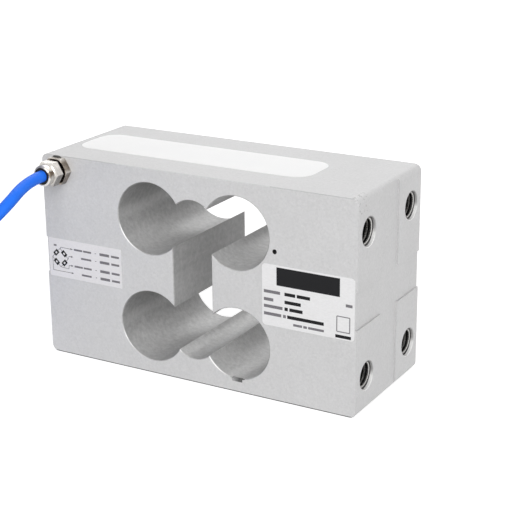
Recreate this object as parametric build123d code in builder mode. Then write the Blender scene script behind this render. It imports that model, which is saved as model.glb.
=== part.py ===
from build123d import *
import math
import os

os.makedirs("parts", exist_ok=True)

# Single point load cell. Millimetres, +Z up. X runs along the beam, -Y is the face with the cable gland.
# The origin is the middle of the bottom face.

# Beam block
beam_length = 150.0
beam_width = 59.0
beam_height = 90.5
beam_corner = 3.0
edge_break = 0.3

# Spring cut-out, symmetric about the middle of the front face
bore_radius = 15.5
bore_spacing_x = 41.2
bore_spacing_z = 47.4
middle_bore_radius = 10.8
slot_width = 18.6

# End faces: a shallow cross is milled away and leaves four raised pads
channel_width = 16.0
channel_depth = 0.8
thread_spacing_y = 40.0
thread_spacing_z = 60.0
thread_radius = 6.0
thread_countersink_radius = 6.3
thread_depth = 30.0
thread_countersink_angle = 120.0

# Gauge pockets in the top and bottom face, and the well at the gland end of the top one
pocket_end_wall = 5.6
pocket_length = 112.9
pocket_width = 26.7
pocket_corner = 8.0
pocket_depth = 3.5
sealant_thickness = 1.5
well_length = 30.0
well_depth = 10.0

# Cable gland, screwed into the front face
gland_from_end = 9.3
gland_below_top = 6.2
gland_thread_radius = 4.0
gland_thread_length = 5.8
gland_thread_hole_depth = 6.2
gland_hex_across_flats = 11.0
gland_hex_thickness = 3.5
gland_neck_length = 5.1
gland_neck_gap = 1.0
cap_across_flats = 10.0
cap_hex_length = 4.7
cap_collar_radius = 4.5
cap_collar_length = 3.1
cap_collar_rounding = 0.9
cap_mouth_radius = 3.4
cap_mouth_length = 0.8
cap_cone_length = 1.5
cap_front_chamfer = 0.7
hex_chamfer_share = 1.03
hex_chamfer_angle = 30.0
seal_recess = 0.2
seal_wall = 0.5
seal_seat_from_face = 4.0
o_ring_section = 0.9
o_ring_offset = 0.6
turned_clearance = 0.05

# Cable
cable_diameter = 5.0
passage_clearance = 0.2
jacket_stop = 11.0
core_diameter = 1.0
core_spacing = 1.6
core_bend = 1.5
core_landing_bend = 0.9

# Small holes and the filed corner
pinhole_from_end = 36.4
pinhole_from_top = 26.4
pinhole_diameter = 2.0
pinhole_depth = 6.0
trim_width = 5.0
trim_leg = 1.3

# Gauges
gauge_length = 10.0
gauge_width = 7.0
gauge_backing = 0.1
gauge_foil = 0.05
gauge_strips = 5
gauge_strip_width = 0.5
gauge_strip_pitch = 0.9
gauge_strip_length = 6.0
gauge_tab = 1.4
gauge_tab_pitch = 3.0

# Terminal boards and what is soldered on the upper one
board_width = 20.0
board_thickness = 1.6
board_corner = 1.0
board_from_gland_end = 11.4
board_end_gap = 2.6
core_pad_side = 1.4
fine_pad_side = 0.8
pad_height = 0.2
core_pad_inset = 1.5
link_pad_inset = 3.0
lead_pad_inset = 2.0
resistor_length = 5.0
resistor_width = 3.0
resistor_height = 0.9
resistor_pitch = 7.0
resistor_chamfer = 0.25
strip_length = 10.0
strip_width = 20.0
strip_thickness = 1.0
strip_from_pocket_end = 12.4

# Wires inside the block
core_lanes = (-8.0, -4.0, 4.0, 8.0)
lead_diameter = 0.6
near_lead_lanes = (-1.5, 1.5)
far_lead_lanes = (7.0, 8.5)
far_lead_turns = (6.6, 4.6)
link_from_pocket_end = 7.4
link_hole_diameter = 5.0
link_wire_diameter = 0.8
link_wire_pitch = 1.2
link_wire_count = 4

# Stickers on the front face
label_thickness = 0.12
wiring_label_size = (38.0, 17.4)
wiring_label_from_end = 20.4
wiring_label_below_middle = 0.75
rating_label_size = (41.0, 26.0)
rating_label_from_end = 21.6
rating_label_above_middle = 0.45
rating_label_corner = 1.5

# Free cable: a stretch that hangs to the floor, then a neat round coil
lead_points = [
    (-65.7, -41.8, 84.3),
    (-65.7, -51.8, 84.3),
    (-62.0, -70.5, 78.5),
    (-72.0, -89.0, 63.5),
    (-86.0, -87.5, 40.5),
    (-98.5, -76.0, 16.5),
    (-115.0, -72.5, 2.5),
    (-136.0, -72.5, 2.5),
]
bend_share = 0.45
coil_centre = (-157.0, -37.5)
coil_turn_radii = (25.0, 30.0, 35.0)
coil_layers = 3
coil_nesting = 0.7
coil_chamfer = 1.5
tail_radius = 27.5
tail_sweep = 60.0
sleeve_wall = 0.3
sleeve_length = 10.0
core_end_length = 14.0
core_end_straight = 3.5
core_end_spread = 8.4
core_end_spacing = 1.05
core_end_fan = 2.2
core_end_rise = 1.2
core_end_bend = 2.0

# Places that follow from the sizes above
front_y = -beam_width / 2
mid_z = beam_height / 2
pocket_end_x = -beam_length / 2 + pocket_end_wall
pocket_centre_x = pocket_end_x + pocket_length / 2
well_centre_x = pocket_end_x + well_length / 2
well_floor_z = beam_height - well_depth
top_floor_z = beam_height - pocket_depth
bottom_floor_z = pocket_depth
gland_x = -beam_length / 2 + gland_from_end
gland_z = beam_height - gland_below_top
cap_start = gland_hex_thickness + gland_neck_gap
collar_start = cap_start + cap_hex_length
gland_reach = collar_start + cap_collar_length
neck_end = gland_hex_thickness + gland_neck_length
cable_radius = cable_diameter / 2
passage_radius = cable_radius + passage_clearance
seal_radius = cable_radius + turned_clearance + seal_wall
front_plane = Plane(origin=(0, front_y, 0), x_dir=(1, 0, 0), z_dir=(0, -1, 0))
gland_face = Plane(origin=(gland_x, front_y, gland_z), x_dir=(1, 0, 0), z_dir=(0, -1, 0))
gland_section = Plane(origin=(gland_x, front_y, gland_z), x_dir=(1, 0, 0), z_dir=(0, 0, -1))
gland_axis = Axis((gland_x, front_y, gland_z), (0, -1, 0))
link_x = pocket_end_x + link_from_pocket_end
board_length = well_length - board_from_gland_end - board_end_gap
board_x = pocket_end_x + board_from_gland_end + board_length / 2
board_top_z = well_floor_z + board_thickness
pad_top_z = board_top_z + pad_height
core_pad_x = board_x - board_length / 2 + core_pad_inset
link_pad_x = board_x - board_length / 2 + link_pad_inset
lead_pad_x = board_x + board_length / 2 - lead_pad_inset
strip_x = pocket_end_x + strip_from_pocket_end + strip_length / 2
link_lanes = [(i - (link_wire_count - 1) / 2) * link_wire_pitch for i in range(link_wire_count)]
wiring_label_place = (wiring_label_from_end - beam_length / 2, mid_z - wiring_label_below_middle)
rating_label_place = (beam_length / 2 - rating_label_from_end, mid_z + rating_label_above_middle)
pinhole_place = (beam_length / 2 - pinhole_from_end, beam_height - pinhole_from_top)

# The beam: one machined block with its cut-out, end pads, pockets and drilled passages
with BuildPart() as beam_body:
    with BuildSketch(Plane.XZ) as block_profile:
        with Locations((0, mid_z)):
            Rectangle(beam_length, beam_height)
        fillet(block_profile.vertices(), beam_corner)
    extrude(amount=beam_width / 2, both=True)
    with BuildSketch(Plane.XZ):
        with Locations((0, mid_z)):
            with GridLocations(bore_spacing_x, bore_spacing_z, 2, 2):
                Circle(bore_radius)
            with GridLocations(bore_spacing_x, bore_spacing_z, 1, 2):
                Circle(middle_bore_radius)
            Rectangle(slot_width, bore_spacing_z)
    extrude(amount=beam_width / 2, both=True, mode=Mode.SUBTRACT)
    broad_faces = beam_body.faces().filter_by(Axis.Y)
    chamfer(broad_faces.edges(), edge_break)
    for end in (-1, 1):
        end_face = Plane(origin=(end * beam_length / 2, 0, mid_z), x_dir=(0, 1, 0), z_dir=(end, 0, 0))
        with BuildSketch(end_face):
            Rectangle(channel_width, beam_height)
            Rectangle(beam_width, channel_width)
        extrude(amount=-channel_depth, mode=Mode.SUBTRACT)
        with Locations(end_face):
            with GridLocations(thread_spacing_y, thread_spacing_z, 2, 2):
                CounterSinkHole(
                    radius=thread_radius,
                    counter_sink_radius=thread_countersink_radius,
                    depth=thread_depth,
                    counter_sink_angle=thread_countersink_angle,
                )
    with BuildSketch(Plane.XY.offset(beam_height)):
        with Locations((pocket_centre_x, 0)):
            RectangleRounded(pocket_length, pocket_width, pocket_corner)
    extrude(amount=-pocket_depth, mode=Mode.SUBTRACT)
    with BuildSketch(Plane.XY.offset(beam_height)):
        with Locations((well_centre_x, 0)):
            RectangleRounded(well_length, pocket_width, pocket_corner)
    extrude(amount=-well_depth, mode=Mode.SUBTRACT)
    with BuildSketch(Plane.XY):
        with Locations((pocket_centre_x, 0)):
            RectangleRounded(pocket_length, pocket_width, pocket_corner)
    extrude(amount=pocket_depth, mode=Mode.SUBTRACT)
    with Locations(gland_face):
        Hole(radius=gland_thread_radius + turned_clearance, depth=gland_thread_hole_depth)
        Hole(radius=passage_radius, depth=(beam_width - pocket_width) / 2 + pocket_corner / 2)
    with Locations((link_x, 0, well_floor_z)):
        Hole(radius=link_hole_diameter / 2, depth=well_floor_z - bottom_floor_z)
    with Locations(front_plane):
        with Locations(pinhole_place):
            Hole(radius=pinhole_diameter / 2, depth=pinhole_depth)
    trim_z = mid_z - bore_spacing_z / 2 - bore_radius
    trim_side = trim_leg * math.sqrt(2)
    with Locations(Location((bore_spacing_x / 2, front_y, trim_z), (45, 0, 0))):
        Box(trim_width, trim_side, trim_side, mode=Mode.SUBTRACT)
beam_body.part.label = "beam_body"
export_step(beam_body.part, "parts/beam_body.step")

# White silicone over the gauge pockets, flush with the top and bottom face
with BuildPart() as top_sealant:
    with BuildSketch(Plane.XY.offset(beam_height)):
        with Locations((pocket_centre_x, 0)):
            RectangleRounded(pocket_length, pocket_width, pocket_corner)
    extrude(amount=-sealant_thickness)
top_sealant.part.label = "top_sealant"
export_step(top_sealant.part, "parts/top_sealant.step")

with BuildPart() as bottom_sealant:
    with BuildSketch(Plane.XY):
        with Locations((pocket_centre_x, 0)):
            RectangleRounded(pocket_length, pocket_width, pocket_corner)
    extrude(amount=sealant_thickness)
bottom_sealant.part.label = "bottom_sealant"
export_step(bottom_sealant.part, "parts/bottom_sealant.step")

# Foil strain gauges, glued over the four thin webs: a backing with its foil grid and two solder tabs
for level, floor_z, outward in (("top", top_floor_z, 1), ("bottom", bottom_floor_z, -1)):
    for side, gauge_x in (("left", -bore_spacing_x / 2), ("right", bore_spacing_x / 2)):
        seat = Plane(origin=(gauge_x, 0, floor_z), x_dir=(1, 0, 0), z_dir=(0, 0, outward))
        with BuildPart() as gauge:
            with BuildSketch(seat):
                Rectangle(gauge_length, gauge_width)
            extrude(amount=gauge_backing)
            with BuildSketch(seat.offset(gauge_backing)):
                with Locations((gauge_tab, 0)):
                    with GridLocations(0, gauge_strip_pitch, 1, gauge_strips):
                        Rectangle(gauge_strip_length, gauge_strip_width)
                with Locations((gauge_tab - gauge_length / 2, 0)):
                    with GridLocations(0, gauge_tab_pitch, 1, 2):
                        Rectangle(gauge_tab, gauge_tab)
            extrude(amount=gauge_foil)
        gauge.part.label = f"gauge_{level}_{side}"
        export_step(gauge.part, f"parts/gauge_{level}_{side}.step")

# Terminal board on the floor of the well, with solder pads for the cable, the link and the gauges
with BuildPart() as terminal_board:
    with BuildSketch(Plane.XY.offset(well_floor_z)):
        with Locations((board_x, 0)):
            RectangleRounded(board_length, board_width, board_corner)
    extrude(amount=board_thickness)
    with BuildSketch(Plane.XY.offset(board_top_z)):
        with Locations(*[(core_pad_x, lane) for lane in core_lanes]):
            Rectangle(core_pad_side, core_pad_side)
        with Locations(*[(link_pad_x, lane) for lane in link_lanes]):
            Rectangle(fine_pad_side, fine_pad_side)
        with Locations(*[(lead_pad_x, lane) for lane in near_lead_lanes + far_lead_lanes]):
            Rectangle(fine_pad_side, fine_pad_side)
    extrude(amount=pad_height)
terminal_board.part.label = "terminal_board"
export_step(terminal_board.part, "parts/terminal_board.step")

# Three trimming resistors on the board
resistor_names = ("zero_trim_resistor", "span_trim_resistor", "temperature_trim_resistor")
for name, lane in zip(resistor_names, (-resistor_pitch, 0, resistor_pitch)):
    with BuildPart() as resistor:
        with Locations((board_x, lane, board_top_z)):
            Box(resistor_length, resistor_width, resistor_height, align=(Align.CENTER, Align.CENTER, Align.MIN))
        chamfer(resistor.faces().sort_by(Axis.Z)[-1].edges(), resistor_chamfer)
    resistor.part.label = name
    export_step(resistor.part, f"parts/{name}.step")

# Terminal strip glued in the bottom pocket
with BuildPart() as terminal_strip:
    with BuildSketch(Plane.XY.offset(bottom_floor_z)):
        with Locations((strip_x, 0)):
            RectangleRounded(strip_length, strip_width, board_corner)
    extrude(amount=-strip_thickness)
terminal_strip.part.label = "terminal_strip"
export_step(terminal_strip.part, "parts/terminal_strip.step")

# Gland body: hexagon on the face, thread into the block, neck for the cap nut, bored through for the cable
groove_radius = gland_thread_radius + o_ring_offset
body_corner = gland_hex_across_flats / math.sqrt(3)
body_blank = gland_hex_across_flats / 2 * hex_chamfer_share
body_chamfer = (body_corner - body_blank) * math.tan(math.radians(hex_chamfer_angle))
with BuildPart() as gland_body:
    with BuildSketch(gland_face):
        RegularPolygon(gland_hex_across_flats / 2, 6, major_radius=False)
    extrude(amount=gland_hex_thickness)
    with BuildSketch(gland_section):
        with BuildLine():
            Polyline(
                (0, 0),
                (body_corner, 0),
                (body_corner, gland_hex_thickness - body_chamfer),
                (body_blank, gland_hex_thickness),
                (0, gland_hex_thickness),
                close=True,
            )
        make_face()
    revolve(axis=gland_axis, mode=Mode.INTERSECT)
    with BuildSketch(gland_section):
        with Locations((0, -gland_thread_length)):
            Rectangle(gland_thread_radius, gland_thread_length + neck_end, align=(Align.MIN, Align.MIN))
    revolve(axis=gland_axis)
    with BuildSketch(gland_section):
        with Locations((0, -gland_thread_length)):
            Rectangle(passage_radius, gland_thread_length + neck_end, align=(Align.MIN, Align.MIN))
        with Locations((0, seal_seat_from_face)):
            Rectangle(seal_radius + turned_clearance, neck_end - seal_seat_from_face, align=(Align.MIN, Align.MIN))
        with Locations((groove_radius - o_ring_section / 2, 0)):
            Rectangle(o_ring_section, o_ring_section, align=(Align.MIN, Align.MIN))
    revolve(axis=gland_axis, mode=Mode.SUBTRACT)
gland_body.part.label = "gland_body"
export_step(gland_body.part, "parts/gland_body.step")

# O-ring in the groove under the hexagon, pressed against the block
with BuildPart() as gland_o_ring:
    with BuildSketch(gland_section):
        with Locations((groove_radius, o_ring_section / 2)):
            Circle(o_ring_section / 2 - turned_clearance)
    revolve(axis=gland_axis)
gland_o_ring.part.label = "gland_o_ring"
export_step(gland_o_ring.part, "parts/gland_o_ring.step")

# Rubber seal round the cable: a sleeve in the neck and a cone that the cap nut squeezes
seal_end = gland_reach - seal_recess
cone_start = gland_reach - cap_mouth_length - cap_cone_length
with BuildPart() as gland_seal:
    with BuildSketch(gland_section):
        with BuildLine():
            Polyline(
                (cable_radius + turned_clearance, seal_seat_from_face + turned_clearance),
                (seal_radius, seal_seat_from_face + turned_clearance),
                (seal_radius, neck_end + turned_clearance),
                (gland_thread_radius - turned_clearance, neck_end + turned_clearance),
                (gland_thread_radius - turned_clearance, cone_start),
                (cap_mouth_radius - turned_clearance, gland_reach - cap_mouth_length),
                (cap_mouth_radius - turned_clearance, seal_end),
                (cable_radius + turned_clearance, seal_end),
                close=True,
            )
        make_face()
    revolve(axis=gland_axis)
gland_seal.part.label = "gland_seal"
export_step(gland_seal.part, "parts/gland_seal.step")

# Cap nut: hexagon, round collar, and a bore that narrows to the mouth
cap_corner = cap_across_flats / math.sqrt(3)
cap_blank = cap_across_flats / 2 * hex_chamfer_share
cap_chamfer = (cap_corner - cap_blank) * math.tan(math.radians(hex_chamfer_angle))
with BuildPart() as gland_cap_nut:
    with BuildSketch(gland_face.offset(cap_start)):
        RegularPolygon(cap_across_flats / 2, 6, major_radius=False)
    extrude(amount=cap_hex_length)
    with BuildSketch(gland_section):
        with BuildLine():
            Polyline(
                (0, cap_start),
                (cap_blank, cap_start),
                (cap_corner, cap_start + cap_chamfer),
                (cap_corner, collar_start - cap_front_chamfer),
                (cap_collar_radius, collar_start),
                (0, collar_start),
                close=True,
            )
        make_face()
    revolve(axis=gland_axis, mode=Mode.INTERSECT)
    with BuildSketch(gland_face.offset(collar_start)):
        Circle(cap_collar_radius)
    extrude(amount=cap_collar_length)
    fillet(gland_cap_nut.faces().sort_by(Axis.Y)[0].edges(), cap_collar_rounding)
    with BuildSketch(gland_section):
        with BuildLine():
            Polyline(
                (0, cap_start),
                (gland_thread_radius + turned_clearance, cap_start),
                (gland_thread_radius + turned_clearance, cone_start),
                (cap_mouth_radius, gland_reach - cap_mouth_length),
                (cap_mouth_radius, gland_reach),
                (0, gland_reach),
                close=True,
            )
        make_face()
    revolve(axis=gland_axis, mode=Mode.SUBTRACT)
gland_cap_nut.part.label = "gland_cap_nut"
export_step(gland_cap_nut.part, "parts/gland_cap_nut.step")

# The cable's jacket from the mouth of the gland to the well
jacket_start_y = front_y - gland_reach
jacket_end_y = -jacket_stop
with BuildPart() as cable_jacket:
    with BuildSketch(gland_face.offset(gland_reach)):
        Circle(cable_radius)
    extrude(amount=jacket_start_y - jacket_end_y)
cable_jacket.part.label = "cable_jacket"
export_step(cable_jacket.part, "parts/cable_jacket.step")

# Four cores from the jacket to the board: the upper two run to the front lanes, the lower two to the back ones
core_names = ("core_white", "core_yellow", "core_brown", "core_green")
core_sides = (1, -1, 1, -1)
core_levels = (1, 1, -1, -1)
core_clear = core_spacing / 2
for name, lane, side, level in zip(core_names, core_lanes, core_sides, core_levels):
    core_x = gland_x + side * core_clear
    core_z = gland_z + level * core_clear
    with BuildPart() as core:
        with BuildLine() as core_path:
            FilletPolyline(
                (core_x, jacket_end_y, core_z),
                (core_x, lane, core_z),
                (core_pad_x, lane, core_z),
                (core_pad_x, lane, pad_top_z),
                radius=[core_bend, core_landing_bend],
            )
        with BuildSketch(Plane(origin=core_path.line @ 0, z_dir=core_path.line % 0)):
            Circle(core_diameter / 2)
        sweep(path=core_path.line)
    core.part.label = name
    export_step(core.part, f"parts/{name}.step")

# Link wires through the drilled passage, from the board down to the strip in the bottom pocket
link_top_z = pad_top_z + link_wire_diameter / 2
link_bottom_z = bottom_floor_z - strip_thickness - link_wire_diameter / 2
with BuildPart() as link_wires:
    for lane in link_lanes:
        with BuildLine() as link_path:
            Polyline(
                (link_pad_x, lane, link_top_z),
                (link_x, lane, link_top_z),
                (link_x, lane, link_bottom_z),
                (strip_x, lane, link_bottom_z),
            )
        with BuildSketch(Plane(origin=link_path.line @ 0, z_dir=link_path.line % 0)):
            Circle(link_wire_diameter / 2)
        sweep(path=link_path.line, transition=Transition.RIGHT)
link_wires.part.label = "link_wires"
export_step(link_wires.part, "parts/link_wires.step")

# Gauge leads: a near pair along the middle, and a far pair that goes round the near gauge
lead_radius = lead_diameter / 2
near_tab_x = -bore_spacing_x / 2 - gauge_length / 2
far_tab_x = bore_spacing_x / 2 - gauge_length / 2
top_lead_z = top_floor_z + lead_radius
bottom_lead_z = bottom_floor_z - lead_radius
strip_end_x = strip_x + strip_length / 2
with BuildPart() as leads_top_left:
    for lane in near_lead_lanes:
        with BuildLine() as lead_path:
            Polyline((lead_pad_x, lane, pad_top_z), (lead_pad_x, lane, top_lead_z), (near_tab_x, lane, top_lead_z))
        with BuildSketch(Plane(origin=lead_path.line @ 0, z_dir=lead_path.line % 0)):
            Circle(lead_radius)
        sweep(path=lead_path.line, transition=Transition.RIGHT)
leads_top_left.part.label = "leads_top_left"
export_step(leads_top_left.part, "parts/leads_top_left.step")

with BuildPart() as leads_top_right:
    for lane, turn, tab_y in zip(far_lead_lanes, far_lead_turns, near_lead_lanes):
        with BuildLine() as lead_path:
            Polyline(
                (lead_pad_x, lane, pad_top_z),
                (lead_pad_x, lane, top_lead_z),
                (far_tab_x - turn, lane, top_lead_z),
                (far_tab_x - turn, tab_y, top_lead_z),
                (far_tab_x, tab_y, top_lead_z),
            )
        with BuildSketch(Plane(origin=lead_path.line @ 0, z_dir=lead_path.line % 0)):
            Circle(lead_radius)
        sweep(path=lead_path.line, transition=Transition.RIGHT)
leads_top_right.part.label = "leads_top_right"
export_step(leads_top_right.part, "parts/leads_top_right.step")

with BuildPart() as leads_bottom_left:
    for lane in near_lead_lanes:
        with BuildSketch(Plane.YZ.offset(strip_end_x)):
            with Locations((lane, bottom_lead_z)):
                Circle(lead_radius)
    extrude(amount=near_tab_x - strip_end_x)
leads_bottom_left.part.label = "leads_bottom_left"
export_step(leads_bottom_left.part, "parts/leads_bottom_left.step")

with BuildPart() as leads_bottom_right:
    for lane, turn, tab_y in zip(far_lead_lanes, far_lead_turns, near_lead_lanes):
        with BuildLine() as lead_path:
            Polyline(
                (strip_end_x, lane, bottom_lead_z),
                (far_tab_x - turn, lane, bottom_lead_z),
                (far_tab_x - turn, tab_y, bottom_lead_z),
                (far_tab_x, tab_y, bottom_lead_z),
            )
        with BuildSketch(Plane(origin=lead_path.line @ 0, z_dir=lead_path.line % 0)):
            Circle(lead_radius)
        sweep(path=lead_path.line, transition=Transition.RIGHT)
leads_bottom_right.part.label = "leads_bottom_right"
export_step(leads_bottom_right.part, "parts/leads_bottom_right.step")

# Stickers on the front face
with BuildPart() as wiring_label:
    with BuildSketch(front_plane):
        with Locations(wiring_label_place):
            Rectangle(*wiring_label_size)
    extrude(amount=label_thickness)
wiring_label.part.label = "wiring_label"
export_step(wiring_label.part, "parts/wiring_label.step")

with BuildPart() as rating_label:
    with BuildSketch(front_plane):
        with Locations(rating_label_place):
            RectangleRounded(*rating_label_size, rating_label_corner)
    extrude(amount=label_thickness)
rating_label.part.label = "rating_label"
export_step(rating_label.part, "parts/rating_label.step")

# Free cable: each bend is as large as the two runs beside it allow
lead_vectors = [Vector(*b) - Vector(*a) for a, b in zip(lead_points, lead_points[1:])]
lead_radii = []
for run, next_run in zip(lead_vectors, lead_vectors[1:]):
    half_turn = math.radians(run.get_angle(next_run) / 2)
    lead_radii.append(bend_share * min(run.length, next_run.length) / math.tan(half_turn))
print("cable bend radii", [round(radius, 1) for radius in lead_radii])
with BuildPart() as cable_lead:
    with BuildLine() as lead_line:
        FilletPolyline(*lead_points, radius=lead_radii)
    with BuildSketch(Plane(origin=lead_line.line @ 0, z_dir=lead_line.line % 0)):
        Circle(cable_radius)
    sweep(path=lead_line.line)
lead_length = sum(edge.length for edge in lead_line.edges())
section_volume = math.pi * cable_radius**2 * lead_length
print("cable lead length", round(lead_length, 1))
print("cable lead volume", round(cable_lead.part.volume, 1), "section times length", round(section_volume, 1))
cable_lead.part.label = "cable_lead"
export_step(cable_lead.part, "parts/cable_lead.step")

# Coil: the outer shape of its turns, with the start of the outer turn running straight to the lead
coil_inner = coil_turn_radii[0] - cable_radius
coil_outer = coil_turn_radii[-1] + cable_radius
coil_height = coil_layers * cable_diameter - coil_nesting
with BuildPart() as cable_coil:
    with BuildSketch(Plane.XY):
        with Locations(coil_centre):
            Circle(coil_outer)
            Circle(coil_inner, mode=Mode.SUBTRACT)
    extrude(amount=coil_height)
    chamfer(cable_coil.edges().filter_by(GeomType.CIRCLE), coil_chamfer)
    with BuildSketch(Plane.YZ.offset(coil_centre[0])):
        with Locations((lead_points[-1][1], lead_points[-1][2])):
            Circle(cable_radius - turned_clearance)
    extrude(amount=lead_points[-1][0] - coil_centre[0])
cable_coil.part.label = "cable_coil"
export_step(cable_coil.part, "parts/cable_coil.step")

# The last stretch of cable lies on the coil, then a shrunk sleeve and the cores with tinned ends
tail_z = coil_height + cable_radius + sleeve_wall
tail_end = (coil_centre[0], coil_centre[1] + tail_radius, tail_z)
with BuildPart() as cable_tail:
    with BuildLine() as tail_line:
        CenterArc((*coil_centre, tail_z), tail_radius, 90 + tail_sweep, -tail_sweep)
    with BuildSketch(Plane(origin=tail_line.line @ 0, z_dir=tail_line.line % 0)):
        Circle(cable_radius)
    sweep(path=tail_line.line)
cable_tail.part.label = "cable_tail"
export_step(cable_tail.part, "parts/cable_tail.step")

with BuildPart() as cable_sleeve:
    with BuildSketch(Plane(origin=tail_end, x_dir=(0, 1, 0), z_dir=(1, 0, 0))):
        Circle(cable_radius + sleeve_wall)
    extrude(amount=sleeve_length)
    chamfer(cable_sleeve.edges().filter_by(GeomType.CIRCLE), sleeve_wall)
cable_sleeve.part.label = "cable_sleeve"
export_step(cable_sleeve.part, "parts/cable_sleeve.step")

end_names = ("end_core_white", "end_core_yellow", "end_core_brown", "end_core_green", "end_shield")
sleeve_face_x = tail_end[0] + sleeve_length
rest_z = coil_height + core_end_rise
for index, name in enumerate(end_names):
    offset = index - (len(end_names) - 1) / 2
    start_y = tail_end[1] + offset * core_end_spacing
    rest_y = tail_end[1] + offset * core_end_fan
    with BuildPart() as end_core:
        with BuildLine() as end_line:
            FilletPolyline(
                (sleeve_face_x, start_y, tail_z),
                (sleeve_face_x + core_end_straight, start_y, tail_z),
                (sleeve_face_x + core_end_spread, rest_y, rest_z),
                (sleeve_face_x + core_end_length, rest_y + offset, rest_z),
                radius=core_end_bend,
            )
        with BuildSketch(Plane(origin=end_line.line @ 0, z_dir=end_line.line % 0)):
            Circle(core_diameter / 2)
        sweep(path=end_line.line)
    end_core.part.label = name
    export_step(end_core.part, f"parts/{name}.step")
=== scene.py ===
import math

import bpy
from bpy.props import FloatProperty, FloatVectorProperty, IntProperty, PointerProperty
from bpy.types import Operator, Panel, PropertyGroup
from mathutils import Matrix, Vector
from mathutils.noise import noise


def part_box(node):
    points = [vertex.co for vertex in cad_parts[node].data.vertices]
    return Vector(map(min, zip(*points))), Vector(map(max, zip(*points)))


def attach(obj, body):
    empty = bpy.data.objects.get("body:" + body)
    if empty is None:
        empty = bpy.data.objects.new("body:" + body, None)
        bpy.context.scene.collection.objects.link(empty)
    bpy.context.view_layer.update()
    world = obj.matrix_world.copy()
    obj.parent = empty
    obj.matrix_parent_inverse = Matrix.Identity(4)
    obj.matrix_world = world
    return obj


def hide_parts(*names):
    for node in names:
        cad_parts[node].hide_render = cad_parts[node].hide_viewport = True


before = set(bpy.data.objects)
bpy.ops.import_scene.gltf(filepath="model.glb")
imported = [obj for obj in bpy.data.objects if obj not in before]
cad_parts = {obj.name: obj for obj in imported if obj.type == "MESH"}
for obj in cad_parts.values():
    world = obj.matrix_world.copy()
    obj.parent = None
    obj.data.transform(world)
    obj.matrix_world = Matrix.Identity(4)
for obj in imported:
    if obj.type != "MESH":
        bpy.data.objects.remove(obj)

bl_info = {
    "name": "Single point load cell",
    "version": (1, 0, 0),
    "blender": (4, 5, 0),
    "location": "View3D > Sidebar > Load Cell",
    "description": "Dresses the packed load cell with its finishes, threads, labels, cable and studio",
    "category": "Object",
}

# Millimetres as metres
MM = 0.001

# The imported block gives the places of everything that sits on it
BEAM_LOW, BEAM_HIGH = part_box("beam_body")
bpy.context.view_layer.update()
MIDDLE_HEIGHT = (BEAM_LOW.z + BEAM_HIGH.z) / 2

# Route of the free cable from the gland to the start of the coil
LEAD_POINTS = [
    (-0.0657, -0.0418, 0.0843),
    (-0.0657, -0.0518, 0.0843),
    (-0.0620, -0.0705, 0.0785),
    (-0.0720, -0.0890, 0.0635),
    (-0.0860, -0.0875, 0.0405),
    (-0.0985, -0.0760, 0.0165),
    (-0.1150, -0.0725, 0.0025),
    (-0.1360, -0.0725, 0.0025),
]
COIL_CENTRE = Vector((-0.157, -0.0375, 0.0))

# The sizes below, up to the cable's nodes, are in millimetres, and go into the finishes
# Half length and half height of the box round the cut-out
CUT_OUT_REACH = (36.5, 39.8)
# Where the outermost walls of the bores start and where they are full, from the middle of the block, for the
# shade painted on them
OUTER_WALLS = (21.0, 29.0)
# Rim of an end hole: the countersink's depth with the first thread, and the ring at its mouth
RIM_DEPTH = 1.3
MOUTH_RING = (6.2, 0.3)
# Milled steps of the end faces, where shade is painted: nearly their depth, half their width, and their
# distance from the holes
STEP_DEPTH = 0.78
STEP_REACH = 28.5
CLEAR_OF_HOLES = 7.0
# Painted shade: reach of the shade in the filed notch and of the dark spots of the nicks, half sizes of the
# dark oval on the upper edge, height of the dark line at the foot
NOTCH_REACH = 3.6
NICKS_REACH = 5.5
SHADOW_REACH = (2.2, 0.5)
FOOT_HEIGHT = 0.55
# The pinhole's radius and half its depth, and how far its wall of painted shade stays off the front face
PINHOLE_REACH = 1.02
PINHOLE_HALF_DEPTH = 4.0
OFF_THE_FACE = 0.05
# Gland: radius and length of the gap behind the cap nut and radius of its lip, where shade is painted, and
# length of its collar, where reflections are painted
GAP_RADIUS = 5.9
GAP_LENGTH = 0.96
LIP_RADIUS = 3.65
COLLAR_LENGTH = 3.05
# Parts of a normal: on a chamfer, and the most that a wall across the face can have
DIAGONAL = 0.707
NOT_FLAT = 0.9

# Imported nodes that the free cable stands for, and those that go with it
CABLE_NODES = ("cable_lead", "cable_coil", "cable_tail")

# Insulation of the cable's cores
CORE_COLOURS = {
    "white": (0.86, 0.86, 0.84),
    "yellow": (0.85, 0.62, 0.05),
    "brown": (0.13, 0.05, 0.02),
    "green": (0.03, 0.25, 0.06),
}


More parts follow.
